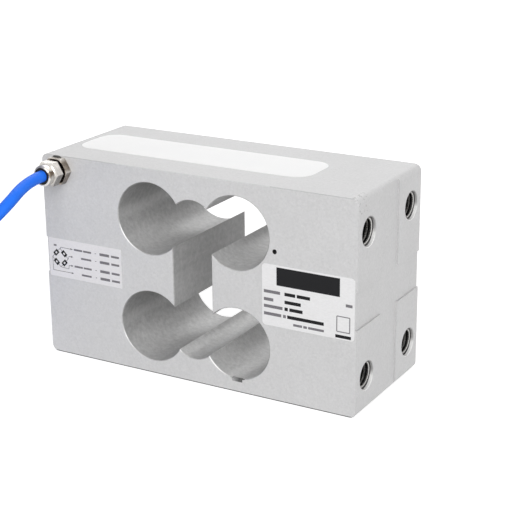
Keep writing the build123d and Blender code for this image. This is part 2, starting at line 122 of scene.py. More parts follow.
class StageSettings(PropertyGroup):
    """Camera, lamps and floor"""

    aim: FloatVectorProperty(
        name="Aim point", description="Point of the load cell that the camera looks at",
        default=(0.008012, 0.007253, 0.047439), subtype="XYZ", unit="LENGTH",
    )
    distance: FloatProperty(
        name="Distance", description="From the camera to the aim point", default=0.596326, unit="LENGTH"
    )
    azimuth: FloatProperty(
        name="Azimuth", description="Turn of the camera about the vertical",
        default=math.radians(30.038), unit="ROTATION",
    )
    elevation: FloatProperty(
        name="Elevation", description="Height angle of the camera",
        default=math.radians(18.602), unit="ROTATION",
    )
    roll: FloatProperty(
        name="Roll", description="Turn of the picture", default=math.radians(-0.534), unit="ROTATION"
    )
    lens: FloatProperty(name="Lens", description="Focal length in millimetres", default=98.42)
    floor_size: FloatProperty(name="Floor size", description="Side of the floor", default=6.0, unit="LENGTH")
    floor_colour: FloatVectorProperty(
        name="Floor colour", description="Colour of the floor", default=(0.65, 0.65, 0.65), subtype="COLOR"
    )
    floor_lift: FloatProperty(
        name="Floor lift", description="Added to the floor's tone in view only", default=0.7
    )
    ambient: FloatProperty(name="Ambient", description="Strength of the light from all round", default=0.25)
    key_power: FloatProperty(
        name="Key power", description="Power of the lamp above", default=0.7, unit="POWER"
    )
    front_power: FloatProperty(
        name="Front power", description="Power of the large lamp in front", default=43.0, unit="POWER"
    )
    side_power: FloatProperty(
        name="Side power", description="Power of the lamp on the right", default=3.2, unit="POWER"
    )
    back_power: FloatProperty(
        name="Back power", description="Power of the lamp behind", default=8.5, unit="POWER"
    )


class BeamSettings(PropertyGroup):
    """Finish of the aluminium block and its threads"""

    light: FloatVectorProperty(
        name="Light grey", description="Lighter tone of the blasted surface",
        default=(0.65, 0.647, 0.65), subtype="COLOR",
    )
    dark: FloatVectorProperty(
        name="Dark grey", description="Darker tone of the blasted surface",
        default=(0.605, 0.603, 0.605), subtype="COLOR",
    )
    bored_light: FloatVectorProperty(
        name="Bored light", description="Lighter streaks of the bore walls",
        default=(0.465, 0.463, 0.461), subtype="COLOR",
    )
    bored_dark: FloatVectorProperty(
        name="Bored dark", description="Darker streaks of the bore walls",
        default=(0.365, 0.363, 0.362), subtype="COLOR",
    )
    # Colour of the painted shade inside the end holes, down the thread flanks and in the pinhole
    shade_in_holes: FloatVectorProperty(
        name="Hole shade", description="Oiled grooves of the threads",
        default=(0.035, 0.034, 0.034), subtype="COLOR",
    )
    roughness: FloatProperty(name="Roughness", description="Roughness of the blasted surface", default=0.55)
    bored_roughness: FloatProperty(
        name="Bored roughness", description="Roughness of the bore walls", default=0.42
    )
    metallic: FloatProperty(
        name="Metallic", description="Share of metal reflection of the blasted surface", default=0.2
    )
    bored_metallic: FloatProperty(
        name="Bored metallic", description="Share of metal reflection of the bore walls", default=0.15
    )
    thread_pitch: FloatProperty(
        name="Thread pitch", description="Pitch of the end threads", default=1.75 * MM, unit="LENGTH"
    )
    thread_major: FloatProperty(
        name="Thread radius", description="Nominal radius of the end threads",
        default=6.0 * MM, unit="LENGTH",
    )
    thread_core: FloatProperty(
        name="Core radius", description="Radius inside the thread crests", default=5.1 * MM, unit="LENGTH"
    )
    thread_length: FloatProperty(
        name="Thread length", description="Threaded depth of each hole", default=27.0 * MM, unit="LENGTH"
    )
    countersink: FloatProperty(
        name="Countersink radius", description="Radius of the countersink at the face",
        default=6.3 * MM, unit="LENGTH",
    )
    countersink_slope: FloatProperty(
        name="Countersink slope", description="Half the angle of the countersink",
        default=math.radians(60.0), unit="ROTATION",
    )
    notch: FloatVectorProperty(
        name="Filed notch", description="Middle of the notch filed into the lower right bore",
        default=(0.0206, -0.0295, 0.00605), subtype="XYZ", unit="LENGTH",
    )
    # Dark spots of painted shade where the corner has small dents
    nicked_corner: FloatVectorProperty(
        name="Nicked corner", description="Middle of the nicks near the upper front corner",
        default=(0.0750, -0.0245, 0.0889), subtype="XYZ", unit="LENGTH",
    )
    # Middle of a dark oval of painted shade on the upper edge behind the gland
    edge_mark: FloatVectorProperty(
        name="Edge mark", description="Middle of the dark scuff on the upper edge behind the gland",
        default=(-0.0667, -0.0295, 0.0899), subtype="XYZ", unit="LENGTH",
    )
    pinhole: FloatVectorProperty(
        name="Pinhole", description="Middle of the small blind hole",
        default=(0.0386, -0.0295, 0.0641), subtype="XYZ", unit="LENGTH",
    )
    spacing: FloatVectorProperty(
        name="Thread spacing", description="Distance between the threads, across and up",
        default=(0.040, 0.060), size=2, unit="LENGTH",
    )


class SealantSettings(PropertyGroup):
    """White silicone over the gauge pockets"""

    colour: FloatVectorProperty(
        name="Colour", description="Colour of the silicone", default=(0.985, 0.985, 0.985), subtype="COLOR"
    )
    dish: FloatProperty(
        name="Dish", description="How far the middle sinks under the edge", default=0.12 * MM, unit="LENGTH"
    )
    ripple: FloatProperty(
        name="Ripple", description="Height of the slow ripple left by levelling",
        default=0.05 * MM, unit="LENGTH",
    )
    corner: FloatProperty(
        name="Corner", description="Radius of the pocket's corners", default=8.0 * MM, unit="LENGTH"
    )


class LabelSettings(PropertyGroup):
    """Stickers and their plain print"""

    wiring_colour: FloatVectorProperty(
        name="Wiring label colour", description="Film of the left sticker",
        default=(0.80, 0.785, 0.797), subtype="COLOR",
    )
    rating_colour: FloatVectorProperty(
        name="Rating label colour", description="Film of the right sticker",
        default=(0.845, 0.84, 0.845), subtype="COLOR",
    )
    ink: FloatVectorProperty(
        name="Ink", description="Colour of the print", default=(0.008, 0.008, 0.009), subtype="COLOR"
    )
    grey_ink: FloatVectorProperty(
        name="Grey ink", description="Colour of the fine print",
        default=(0.15, 0.145, 0.155), subtype="COLOR",
    )
    ink_height: FloatProperty(
        name="Ink height", description="How far the print stands off the film",
        default=0.02 * MM, unit="LENGTH",
    )


class GlandSettings(PropertyGroup):
    """Nickel-plated gland and its rubber"""

    nickel: FloatVectorProperty(
        name="Nickel", description="Colour of the plating", default=(0.72, 0.69, 0.65), subtype="COLOR"
    )
    rubber: FloatVectorProperty(
        name="Rubber", description="Colour of the seals", default=(0.018, 0.018, 0.020), subtype="COLOR"
    )


class CableSettings(PropertyGroup):
    """Free cable with its coil"""

    diameter: FloatProperty(
        name="Diameter", description="Outer diameter of the cable", default=5.0 * MM, unit="LENGTH"
    )
    length: FloatProperty(
        name="Length", description="Free length from the gland to the sleeve", default=1.765, unit="LENGTH"
    )
    turn_radius: FloatVectorProperty(
        name="Turn radii", description="Radius of the inner, middle and outer turns",
        default=(0.025, 0.030, 0.035), unit="LENGTH",
    )
    steps: IntProperty(
        name="Steps", description="Control points in each turn of the coil", default=16, min=12
    )
    colour: FloatVectorProperty(
        name="Colour", description="Colour of the jacket", default=(0.018, 0.19, 1.0), subtype="COLOR"
    )


class InnerSettings(PropertyGroup):
    """Gauges, boards and wires under the silicone"""

    board: FloatVectorProperty(
        name="Board", description="Solder mask of the boards", default=(0.04, 0.22, 0.09), subtype="COLOR"
    )
    film: FloatVectorProperty(
        name="Film", description="Backing film of the gauges", default=(0.62, 0.34, 0.10), subtype="COLOR"
    )


def feed(tree, node, inputs):
    """Gives a node its inputs: signals are linked, and plain values are set."""
    for name, value in inputs.items():
        if isinstance(value, Signal):
            tree.links.new(value.socket, node.inputs[name])
        else:
            node.inputs[name].default_value = value


def derive(tree, kind, inputs, output, **traits):
    """What comes out of a new shader node with these inputs and traits."""
    node = tree.nodes.new(f"ShaderNode{kind}")
    for name, value in traits.items():
        setattr(node, name, value)
    feed(tree, node, inputs)
    return Signal(tree, node.outputs[output])


class Signal:
    """A value that changes over the surface. All that is made of it is a signal too.

    A mask is a signal of 1 in some places and 0 in others: * gives where both masks are, and | where any is.
    """

    def __init__(self, tree, socket):
        self.tree = tree
        self.socket = socket

    def calculate(self, operation, *values):
        """A sum with numbers or other signals."""
        inputs = dict(enumerate((self, *values)))
        return derive(self.tree, "Math", inputs, "Value", operation=operation)

    def __add__(self, other):
        return self.calculate("ADD", other)

    def __sub__(self, other):
        return self.calculate("SUBTRACT", other)

    def __mul__(self, other):
        return self.calculate("MULTIPLY", other)

    def __truediv__(self, other):
        return self.calculate("DIVIDE", other)

    def __or__(self, other):
        return self.calculate("MAXIMUM", other)

    def __abs__(self):
        return self.calculate("ABSOLUTE")

    def near(self, middle, reach):
        """Mask of the values within reach of the middle."""
        return self.calculate("COMPARE", middle, reach)

    def below(self, limit):
        """Mask of the values under the limit."""
        return self.calculate("LESS_THAN", limit)

    def beyond(self, limit):
        """Mask of the values over the limit."""
        return self.calculate("GREATER_THAN", limit)

    def split(self):
        """The three parts of a vector."""
        first = derive(self.tree, "SeparateXYZ", {"Vector": self}, "X")
        return [Signal(self.tree, part) for part in first.socket.node.outputs]

    def from_point(self, middle):
        """Distance of these coordinates from a point, in millimetres."""
        inputs = {0: self, 1: [part / MM for part in middle]}
        return derive(self.tree, "VectorMath", inputs, "Value", operation="DISTANCE")

    def grain(self, scale, detail, roughness=0.5):
        """Noise at these coordinates, with grains of about 1 / scale millimetres."""
        inputs = {"Vector": self, "Scale": scale, "Detail": detail, "Roughness": roughness}
        return derive(self.tree, "TexNoise", inputs, "Fac")

    def spread(self, low, high, source=(0.3, 0.7)):
        """A value between low and high that follows this one through its source range."""
        names = ("Value", "From Min", "From Max", "To Min", "To Max")
        inputs = dict(zip(names, (self, *source, low, high)))
        return derive(self.tree, "MapRange", inputs, "Result")

    def tones(self, *stops):
        """A colour that follows this value through (position, colour) stops."""
        colour = derive(self.tree, "ValToRGB", {"Fac": self}, "Color")
        elements = colour.socket.node.color_ramp.elements
        while len(elements) < len(stops):
            elements.new(0.5)
        for element, (position, tone) in zip(elements, stops):
            element.position = position
            element.color = (*tone, 1.0)
        return colour

    def two_tones(self, dark, light, reach=(0.3, 0.7)):
        """A colour that goes from dark to light."""
        return self.tones((reach[0], dark), (reach[1], light))

    def relief(self, depth, under=None):
        """Bump of the given depth in millimetres, laid over another bump where one is given."""
        inputs = {"Strength": 1.0, "Distance": depth * MM, "Height": self}
        if under is not None:
            inputs["Normal"] = under
        return derive(self.tree, "Bump", inputs, "Normal")


def new_finish(name):
    """An empty material with one principled shader, and its node tree."""
    material = bpy.data.materials.new(name)
    material.use_nodes = True
    tree = material.node_tree
    tree.nodes.clear()
    shader = tree.nodes.new("ShaderNodeBsdfPrincipled")
    output = tree.nodes.new("ShaderNodeOutputMaterial")
    tree.links.new(shader.outputs["BSDF"], output.inputs["Surface"])
    return material, tree, shader


def place(tree, stretch=(1.0, 1.0, 1.0)):
    """Coordinates of the surface in millimetres, stretched along each axis."""
    point = derive(tree, "TexCoord", {}, "Object")
    scale = [share / MM for share in stretch]
    return derive(tree, "Mapping", {"Vector": point, "Scale": scale}, "Vector")


class Spot:
    """The spot of the surface that a finish follows: its place in millimetres and the parts of its normal."""

    def __init__(self, tree):
        self.point = place(tree)
        self.along, self.across, self.up = self.point.split()
        self.sideways, self.facing, self.upward = derive(tree, "TexCoord", {}, "Normal").split()


def shade(colour, factor):
    """The colour made lighter or darker."""
    return tuple(min(1.0, channel * factor) for channel in colour)


def layered(colour, *layers):
    """Lays (mask, tone) pairs over a colour, the last one on top."""
    for mask, tone in layers:
        colour = derive(mask.tree, "Mix", {0: mask, 6: colour, 7: tone}, 2, data_type="RGBA")
    return colour


def from_axis(side, level):
    """Distance from an axis, out of the distances beside it and over it."""
    return (side * side + level * level).calculate("SQRT")


def thread_distance(spot, settings):
    """Distance from the nearest thread axis, in millimetres."""
    half_across, half_up = (gap / MM / 2 for gap in settings.spacing)
    level = abs(spot.up - MIDDLE_HEIGHT / MM) - half_up
    return from_axis(abs(spot.across) - half_across, level)


def rim_light(spot):
    """Masks of the end holes' rims, and of the part of them that faces up, where the cut metal shines."""
    rim = abs(spot.along).beyond(BEAM_HIGH.x / MM - RIM_DEPTH)
    return rim, rim * spot.upward.spread(0.0, 1.0, (0.0, 0.35))


def cut_out_masks(spot):
    """Masks of the bored walls, and of the patches where the chamfer at their lower left shines."""
    inside = spot.along.near(0.0, CUT_OUT_REACH[0]) * spot.up.near(MIDDLE_HEIGHT / MM, CUT_OUT_REACH[1])
    shining = (
        inside
        * spot.facing.near(-DIAGONAL, 0.12)
        * spot.sideways.spread(0.0, 1.0, (0.1, 0.4))
        * spot.upward.spread(0.0, 1.0, (0.05, 0.3))
        * spot.point.grain(0.09, 1.0).spread(0.0, 0.85, (0.46, 0.56))
    )
    return inside * spot.facing.near(0.0, NOT_FLAT), shining


def end_masks(spot, settings):
    """Masks of the end holes, dark with painted shade, of their mouths, of their rims' painted highlight, and
    of the steps in the end faces with the outer chamfer, dark with painted shade.
    """
    end_side = abs(spot.along)
    beside = end_side.beyond(CUT_OUT_REACH[0])
    distance = thread_distance(spot, settings)
    holes = distance.near(0.0, settings.countersink / MM + 0.02) * beside
    rim, lit = rim_light(spot)
    mouths = holes * rim * distance.near(*MOUTH_RING)
    steps = (
        end_side.beyond(BEAM_HIGH.x / MM - STEP_DEPTH)
        * spot.across.near(0.0, STEP_REACH)
        * spot.sideways.near(0.0, 0.5)
        * distance.beyond(CLEAR_OF_HOLES)
    )
    chamfer = abs(spot.facing).near(DIAGONAL, 0.15) * beside
    return holes, mouths, holes * lit, chamfer | steps


def wear_masks(spot, settings):
    """Masks of the painted shade in the filed notch, along the foot and in a dark oval on the upper edge, of
    the pinhole's painted shade, and of the nicks, dark spots that paint the shade in small dents.
    """
    notch_along = settings.notch[0] / MM
    filed = (
        spot.point.from_point(settings.notch).below(NOTCH_REACH)
        * spot.facing.near(-DIAGONAL, 0.12)
        * spot.along.spread(0.35, 1.0, (notch_along - 2.5, notch_along + 0.5))
    )
    foot = spot.up.below(FOOT_HEIGHT) * spot.upward.near(0.0, NOT_FLAT)
    mark_along, mark_across, mark_up = (part / MM for part in settings.edge_mark)
    side = (spot.along - mark_along) / SHADOW_REACH[0]
    level = (spot.up - mark_up) / SHADOW_REACH[1]
    shadow = from_axis(side, level).below(1.0) * spot.across.near(mark_across, 0.4)
    hole_along, hole_across, hole_up = (part / MM for part in settings.pinhole)
    pinhole = (
        spot.along.near(hole_along, PINHOLE_REACH)
        * spot.up.near(hole_up, PINHOLE_REACH)
        * spot.across.near(hole_across + OFF_THE_FACE + PINHOLE_HALF_DEPTH, PINHOLE_HALF_DEPTH)
    )
    at_corner = spot.point.from_point(settings.nicked_corner).below(NICKS_REACH)
    return filed | foot | shadow, pinhole, at_corner * spot.point.grain(0.8, 1.0).beyond(0.63)


def blasted_tone(spot, settings, speckle):
    """Blasted grey: slow clouds, with more or less of a fine speckle."""
    cloudy = spot.point.grain(0.05, 4.0, 0.6).two_tones(settings.dark, settings.light)
    speckled = speckle.two_tones(shade(settings.dark, 0.90), shade(settings.light, 1.08))
    return layered(cloudy, (spot.point.grain(0.3, 2.0).spread(0.35, 0.75), speckled))


def bored_tone(spot, settings, streaks, rings):
    """Bored grey with streaks, rings and mottle.

    It has painted light where it faces up, and painted shade on the outermost walls, except along a line left
    lighter as a painted reflection.
    """
    dark, light = settings.bored_dark, settings.bored_light
    mottle = spot.point.grain(0.5, 4.0, 0.7)
    marked = mottle.two_tones(shade(dark, 0.80), shade(light, 1.20))
    # Painted light where the walls face up
    painted_light = mottle.two_tones(shade(light, 1.06), shade(light, 1.48))
    # Painted shade on the outermost walls where they do not face up; the line the mask leaves out is a
    # painted reflection
    wall_shade = mottle.two_tones(shade(dark, 0.77), shade(light, 0.92))
    outermost = (
        abs(spot.along).spread(0.0, 1.0, OUTER_WALLS)
        * spot.upward.spread(1.0, 0.0, (0.3, 0.65))
        * abs(spot.upward - 0.03).spread(0.0, 1.0, (0.06, 0.2))
    )
    return layered(
        streaks.two_tones(dark, light),
        (rings.spread(0.3, 0.65), marked),
        (spot.upward.spread(0.0, 0.65, (0.15, 0.9)), painted_light),
        (outermost, wall_shade),
    )


def blasted_aluminium(settings):
    """Blasted aluminium outside, bored walls in the cut-out, thread grooves dark with painted shade, and a
    painted highlight on the countersinks and the lower left chamfers.
    """
    material, tree, shader = new_finish("blasted_aluminium")
    spot = Spot(tree)
    bored, shining = cut_out_masks(spot)
    holes, mouths, rims, step_shade = end_masks(spot, settings)
    painted_shade, pinhole, nicks = wear_masks(spot, settings)
    speckle = spot.point.grain(1.1, 4.0, 0.65)
    streaks = place(tree, (1.0, 0.02, 1.0)).grain(0.35, 3.0)
    rings = place(tree, (0.04, 1.0, 0.04)).grain(1.4, 3.0)

    darker_grey = speckle.two_tones((0.40, 0.395, 0.395), (0.52, 0.515, 0.51))
    colour = layered(
        blasted_tone(spot, settings, speckle),
        (bored, bored_tone(spot, settings, streaks, rings)),
        # Painted shade on the steps of the end faces and on the outer chamfers
        (step_shade, speckle.two_tones(shade(settings.dark, 0.80), shade(settings.light, 0.86))),
        # Dark spots painted as the shade in small dents near the corner
        (nicks, darker_grey),
        # Painted shade in the filed notch, along the foot and in the dark oval on the upper edge
        (painted_shade, speckle.two_tones((0.06, 0.06, 0.06), (0.16, 0.16, 0.157))),
        # Painted shade inside the end holes and the pinhole
        (holes | pinhole, speckle.two_tones(settings.shade_in_holes, shade(settings.shade_in_holes, 1.6))),
        (mouths, darker_grey),
        # Painted highlight on the rims where they face up and on the lower left chamfers
        (rims | shining, speckle.two_tones((0.82, 0.815, 0.81), (0.93, 0.925, 0.92))),
    )
    smooth = bored | rims
    change = settings.bored_roughness - settings.roughness
    base = speckle.spread(settings.roughness - 0.06, settings.roughness + 0.06)
    turned = (rings * bored).relief(0.012, spot.point.grain(3.5, 2.0).relief(0.006))
    looks = {
        "Base Color": colour,
        "Roughness": smooth.calculate("MULTIPLY_ADD", change, base),
        "Metallic": smooth.spread(settings.metallic, settings.bored_metallic, (0.0, 1.0)),
        "Specular IOR Level": 0.3,
        "Normal": (streaks * bored).relief(0.03, turned),
    }
    feed(tree, shader, looks)
    return material


def cut_metal(settings):
    """Cut aluminium of the threads: bright at the crests, dark with painted shade down the flanks, with a
    painted highlight on the rim where it faces up.
    """
    material, tree, shader = new_finish("cut_metal")
    spot = Spot(tree)
    marks = spot.point.grain(2.2, 3.0)
    bright = marks.two_tones((0.62, 0.61, 0.59), (0.80, 0.79, 0.77))
    # Painted shade down the thread flanks
    flank_shade = marks.two_tones(settings.shade_in_holes, shade(settings.shade_in_holes, 2.0))
    core = settings.thread_core / MM
    flank = thread_distance(spot, settings).spread(0.0, 1.0, (core + 0.05, core + 0.45))
    looks = {
        # Painted highlight on the part of the rim that faces up
        "Base Color": layered(bright, (flank, flank_shade), (rim_light(spot)[1], bright)),
        "Roughness": marks.spread(0.22, 0.36),
        "Metallic": 1.0,
        "Normal": marks.relief(0.01),
    }
    feed(tree, shader, looks)
    return material


def nickel_plate(settings):
    """Bright nickel with turning marks, painted reflections round the collar, painted shade on what faces
    down, darker and brown on the rear hexagon, and painted shade in the gap and at the lip.
    """
    material, tree, shader = new_finish("nickel_plate")
    spot = Spot(tree)
    body_low, body_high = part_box("gland_body")
    nut_low, nut_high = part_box("gland_cap_nut")
    mouth = nut_low.y / MM
    gap_end = nut_high.y / MM
    side = spot.along - (body_low.x + body_high.x) / 2 / MM
    level = spot.up - (body_low.z + body_high.z) / 2 / MM
    distance = from_axis(side, level)
    gap = spot.across.near(gap_end + 0.3, 0.66) * distance.below(GAP_RADIUS)
    lip = spot.across.near(mouth, 1.2) * distance.below(LIP_RADIUS)
    shaded = gap | lip
    collar = spot.across.below(mouth + COLLAR_LENGTH)
    rear = spot.across.beyond(gap_end + GAP_LENGTH) * distance.spread(1.0, 0.2, (5.7, 6.3))
    turn = level.calculate("ARCTAN2", side).calculate("MULTIPLY_ADD", 0.5 / math.pi, 0.5)
    turn = turn + spot.point.grain(0.3, 2.0).spread(-0.02, 0.02)

    turned = place(tree, (1.0, 6.0, 1.0)).grain(1.2, 3.0)
    film = spot.point.grain(0.45, 3.0)
    clean = film.two_tones(shade(settings.nickel, 0.86), shade(settings.nickel, 1.15))
    # Painted shade for the facets that face down
    underside_shade = film.two_tones(shade(settings.nickel, 0.3), shade(settings.nickel, 0.62))
    # Near black painted shade for the gap and the lip
    dark = film.two_tones((0.006, 0.005, 0.005), (0.026, 0.021, 0.017))
    brown = film.two_tones((0.14, 0.12, 0.10), (0.36, 0.31, 0.26))
    grey = shade(settings.nickel, 0.9)
    # Painted reflections round the collar, following the turn about the axis
    painted_reflections = turn.tones(
        (0.00, grey),
        (0.25, grey),
        (0.49, settings.nickel),
        (0.525, (0.20, 0.16, 0.12)),
        (0.56, (0.12, 0.09, 0.065)),
        (0.60, (0.80, 0.76, 0.69)),
        (0.67, (0.85, 0.82, 0.78)),
        (0.70, (0.42, 0.41, 0.43)),
        (0.77, (0.20, 0.20, 0.23)),
        (0.86, (0.30, 0.30, 0.33)),
        (1.00, grey),
    )
    underside = spot.upward.spread(0.0, 1.0, (0.35, -0.45))
    looks = {
        "Base Color": layered(clean, (underside, underside_shade), (collar, painted_reflections), (rear, brown), (shaded, dark)),
        "Roughness": shaded.calculate("MULTIPLY_ADD", 0.4, turned.spread(0.14, 0.28)),
        "Metallic": shaded.spread(1.0, 0.0, (0.0, 1.0)),
        "Specular IOR Level": shaded.spread(0.5, 0.05, (0.0, 1.0)),
        "Normal": turned.relief(0.012),
    }
    feed(tree, shader, looks)
    return material


def grained(
    name,
    colour,
    tone,
    size,
    roughness,
    bump=None,
    slow=None,
    reach=(0.3, 0.7),
    stretch=(1.0, 1.0, 1.0),
    specular=0.5,
    metallic=0.0,
):
    """A finish with one fine grain in its tone, its roughness and its height.

    The tone holds the darkest and lightest share of the colour, and the size the grain's scale and detail.
    Where a slow grain is given, the tone follows that one instead.
    """
    material, tree, shader = new_finish(name)
    surface = place(tree, stretch)
    skin = surface.grain(*size)
    toned = skin if slow is None else surface.grain(*slow)
    looks = {
        "Base Color": toned.two_tones(shade(colour, tone[0]), shade(colour, tone[1]), reach),
        "Roughness": skin.spread(*roughness),
        "Specular IOR Level": specular,
        "Metallic": metallic,
    }
    if bump is not None:
        looks["Normal"] = skin.relief(bump)
    feed(tree, shader, looks)
    return material


def rubber(name, colour, sheen=0.5):
    """Dark rubber with a fine moulded skin."""
    rough = (sheen - 0.08, sheen + 0.08)
    return grained(name, colour, (0.75, 1.35), (2.5, 3.0), rough, bump=0.02, specular=0.15)


def silicone(settings):
    """White silicone that levelled itself: a soft gloss with hardly any tone."""
    slow = (0.06, 2.0)
    return grained("silicone", settings.colour, (0.985, 1.0), (1.8, 3.0), (0.38, 0.5), bump=0.004, slow=slow)


def label_film(name, colour):
    """Matte printed film with a faint fibre."""
    fibre = (1.0, 1.0, 3.0)
    return grained(name, colour, (0.965, 1.035), (0.9, 4.0), (0.42, 0.55), bump=0.004, stretch=fibre)


def print_ink(name, colour):
    """Thermal print, a little uneven where the film shows through."""
    return grained(name, colour, (1.0, 1.8), (3.0, 3.0), (0.4, 0.6), reach=(0.3, 0.75), specular=0.15)


def jacket_blue(settings):
    """Satin blue jacket with a slow change of tone."""
    return grained(
        "cable_jacket_blue",
        settings.colour,
        (0.94, 1.05),
        (2.4, 3.0),
        (0.45, 0.58),
        bump=0.01,
        slow=(0.12, 2.0),
        specular=0.25,
    )


def insulation(name, colour):
    """Thin coloured wire insulation."""
    return grained(name, colour, (0.9, 1.08), (1.5, 2.0), (0.3, 0.42), bump=0.008)


def bare_wire(name, colour):
    """Metal wire with uneven strands."""
    return grained(name, colour, (0.7, 1.1), (2.5, 2.0), (0.25, 0.4), bump=0.05, metallic=1.0)


def circuit_board(settings):
    """Solder mask with traces that shine through."""
    material, tree, shader = new_finish("circuit_board")
    surface = place(tree)
    inputs = {"Vector": surface, "Scale": 0.35, "Mortar Size": 0.05}
    for name, share in (("Color1", 1.0), ("Color2", 0.8), ("Mortar", 1.7)):
        inputs[name] = (*shade(settings.board, share), 1.0)
    weave = surface.grain(2.0, 2.0)
    looks = {
        "Base Color": derive(tree, "TexBrick", inputs, "Color"),
        "Roughness": weave.spread(0.28, 0.4),
        "Normal": weave.relief(0.01),
    }
    feed(tree, shader, looks)
    return material


def gauge_film(settings):
    """Amber film with the bright foil grid under it."""
    material, tree, shader = new_finish("gauge_film")
    surface = place(tree)
    inputs = {"Vector": surface, "Scale": 0.9, "Distortion": 0.2}
    grid = derive(tree, "TexWave", inputs, "Fac", bands_direction="Y")
    foil = grid.two_tones(settings.film, shade(settings.film, 1.3), (0.4, 0.6))
    feed(tree, shader, {"Base Color": foil, "Roughness": surface.grain(1.5, 2.0).spread(0.2, 0.35)})
    return material


def dress(material, *nodes):
    """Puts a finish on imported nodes."""
    for node in nodes:
        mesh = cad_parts[node].data
        if not mesh.materials:
            mesh.materials.append(material)
        for index in range(len(mesh.materials)):
            mesh.materials[index] = material


def add_piece(name, vertices, faces, material, slot, smooth=True):
    """A new mesh piece that rides with the load cell."""
    mesh = bpy.data.meshes.new(name)
    mesh.from_pydata([tuple(vertex) for vertex in vertices], [], faces)
    mesh.validate()
    mesh.materials.append(material)
    for polygon in mesh.polygons:
        polygon.use_smooth = smooth
    piece = bpy.data.objects.new(name, mesh)
    bpy.context.scene.collection.objects.link(piece)
    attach(piece, "root")
    return piece


def sharpen(piece, angle=35.0):
    """Keeps edges sharper than the angle crisp under smooth shading."""
    piece.data.set_sharp_from_angle(angle=math.radians(angle))


def band(first, size):
    """Faces between a ring of vertices and the ring that follows it in the list."""
    second = first + size
    faces = []
    for corner in range(size):
        following = (corner + 1) % size
        faces.append((first + corner, second + corner, second + following, first + following))
    return faces


def helical_ridge(start, direction, profile, pitch, length, segments, limit):
    """Vertices and faces of a right-handed thread ridge.

    The profile is a closed loop of (along, radius) points. The limit gives the smallest radius allowed
    at a distance from the start, as a countersink leaves it.
    """
    along = Vector(direction).normalized()
    across = along.orthogonal().normalized()
    upward = along.cross(across)
    count = round(length / pitch * segments)
    vertices = []
    for step in range(count + 1):
        turn = 2 * math.pi * step / segments
        advance = pitch * step / segments
        outward = across * math.cos(turn) + upward * math.sin(turn)
        for shift, radius in profile:
            distance = advance + shift
            radius = max(radius, min(limit(distance), profile[0][1]))
            vertices.append(start + along * distance + outward * radius)
    size = len(profile)
    faces = []
    for step in range(count):
        faces.extend(band(step * size, size))
    faces.append(tuple(range(size)))
    faces.append(tuple(reversed(range(count * size, (count + 1) * size))))
    return vertices, faces


def join_lists(parts):
    """One vertex list and one face list out of several."""
    vertices = []
    faces = []
    for some_vertices, some_faces in parts:
        first = len(vertices)
        vertices.extend(some_vertices)
        faces.extend(tuple(first + index for index in face) for face in some_faces)
    return vertices, faces


def rounded_outline(centre, length, width, corner, per_corner):
    """Points round a rectangle with round corners, anticlockwise in X and Y."""
    points = []
    for quarter in range(4):
        sign_x = 1 if quarter in (0, 3) else -1
        sign_y = 1 if quarter in (0, 1) else -1
        middle = (centre[0] + sign_x * (length / 2 - corner), centre[1] + sign_y * (width / 2 - corner))
        for step in range(per_corner + 1):
            angle = math.pi / 2 * (quarter + step / per_corner)
            points.append((middle[0] + corner * math.cos(angle), middle[1] + corner * math.sin(angle)))
    return points


def slab_of_silicone(node, outward, settings):
    """The silicone of one pocket: closed, with a meniscus at its edge and a slow ripple."""
    low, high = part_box(node)
    centre = ((low.x + high.x) / 2, (low.y + high.y) / 2)
    length = high.x - low.x
    width = high.y - low.y
    face, back = (high.z, low.z) if outward > 0 else (low.z, high.z)
    per_corner = 10
    meniscus = 1.2 * MM
    calm_edge = 2.0 * MM
    wave_length = 14 * MM
    rings = []
    for inset in (0.0, 0.25, 0.7, 1.4, 2.4, 4.0, 6.0, 8.5, 11.0, 13.0):
        inset = inset * MM
        corner = max(settings.corner - inset, 0.3 * MM)
        sink = settings.dish * (1 - math.exp(-inset / meniscus))
        fade = min(1.0, inset / calm_edge)
        ring = []
        for x, y in rounded_outline(centre, length - 2 * inset, width - 2 * inset, corner, per_corner):
            wave = noise(Vector((x, y, outward)) / wave_length) * settings.ripple
            dip = sink + wave * fade * 0.5 + settings.ripple * 0.5 * fade
            ring.append(Vector((x, y, face - outward * dip)))
        rings.append(ring)
    size = len(rings[0])
    vertices = [Vector((point.x, point.y, back)) for point in rings[0]]
    for ring in rings:
        vertices.extend(ring)
    faces = [tuple(range(size))]
    for level in range(len(rings)):
        faces.extend(band(level * size, size))
    last = len(rings) * size
    faces.append(tuple(reversed(range(last, last + size))))
    if outward > 0:
        faces = [tuple(reversed(face)) for face in faces]
    return vertices, faces


def flat_shapes(corner, shapes, height):
    """Thin closed plates on the front face. A shape is a loop of (across, up) points, in millimetres."""
    vertices = []
    faces = []
    for shape in shapes:
        first = len(vertices)
        size = len(shape)
        for depth in (0.0, height):
            for across, up in shape:
                vertices.append(corner + Vector((across * MM, -depth, up * MM)))
        faces.append(tuple(first + index for index in reversed(range(size))))
        faces.append(tuple(first + size + index for index in range(size)))
        for index in range(size):
            following = (index + 1) % size
            faces.append((first + index, first + following, first + size + following, first + size + index))
    return vertices, faces


def bar(left, bottom, length, thickness):
    """A rectangle as a shape."""
    right = left + length
    top = bottom + thickness
    return [(left, bottom), (right, bottom), (right, top), (left, top)]


def stroke(start, end, thickness):
    """A straight line of some thickness as a shape."""
    direction = Vector((end[0] - start[0], end[1] - start[1])).normalized()
    side = Vector((-direction.y, direction.x)) * thickness / 2
    return [
        (start[0] - side.x, start[1] - side.y),
        (end[0] - side.x, end[1] - side.y),
        (end[0] + side.x, end[1] + side.y),
        (start[0] + side.x, start[1] + side.y),
    ]


